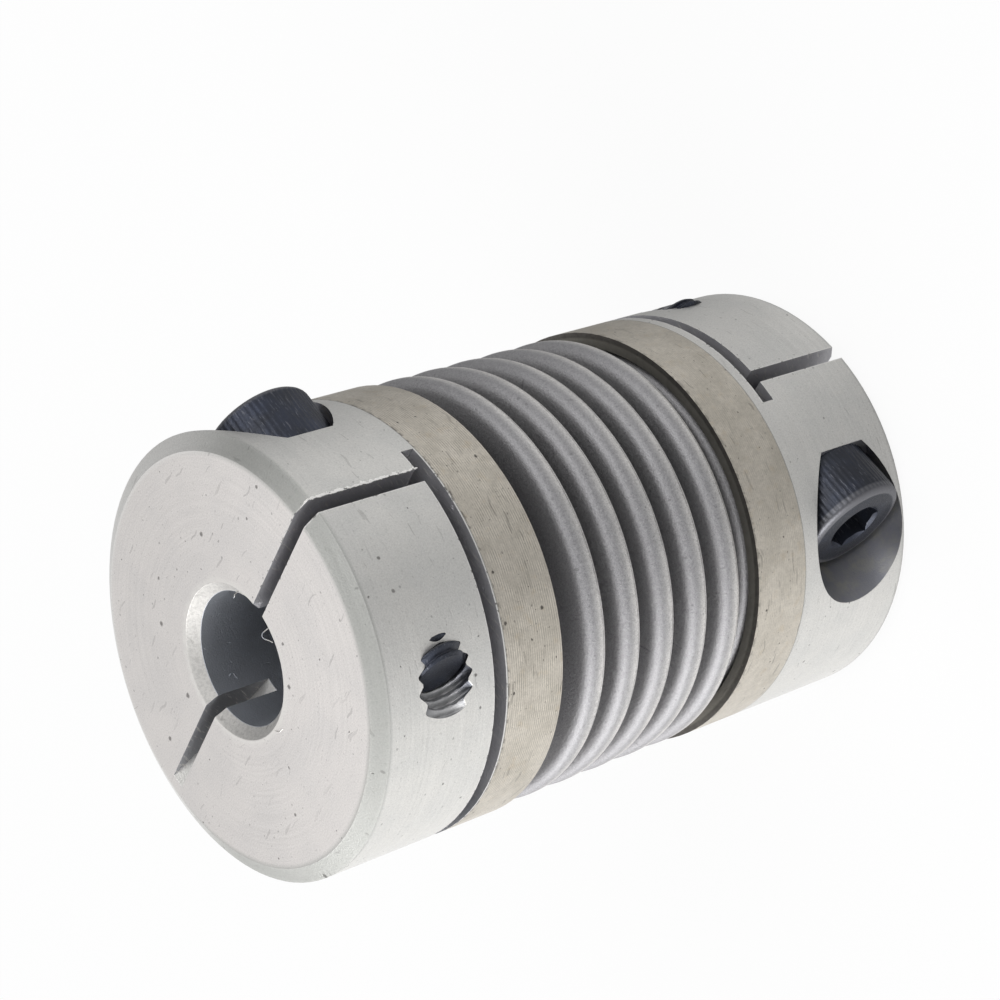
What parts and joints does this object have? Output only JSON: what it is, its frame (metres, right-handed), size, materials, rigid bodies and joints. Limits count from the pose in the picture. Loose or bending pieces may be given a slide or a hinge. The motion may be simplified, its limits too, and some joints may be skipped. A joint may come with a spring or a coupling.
{
  "type": "flexible shaft coupling",
  "caption": "Bellows shaft coupling with split clamp hubs, steel collars and cross clamp screws.",
  "frame": {"origin": "on the coupling's axis, at the middle of the rear hub's end face", "axes": "+Z along the axis, from the rear hub to the front hub; +X towards the mouths of the slits; +Y is the side of the front screw's head"},
  "size_m": [0.021, 0.021, 0.034],
  "materials": {
    "aluminium": "fine turned, satin",
    "collar_steel": "turned, dull",
    "bellows_steel": "formed, satin",
    "black_oxide_steel": "black oxide"
  },
  "bodies": {
    "root": {"front_hub": "aluminium", "rear_hub": "aluminium", "front_collar": "collar_steel", "rear_collar": "collar_steel", "bellows": "bellows_steel", "front_clamp_screw": "black_oxide_steel", "rear_clamp_screw": "black_oxide_steel"}
  },
  "joints": []
}
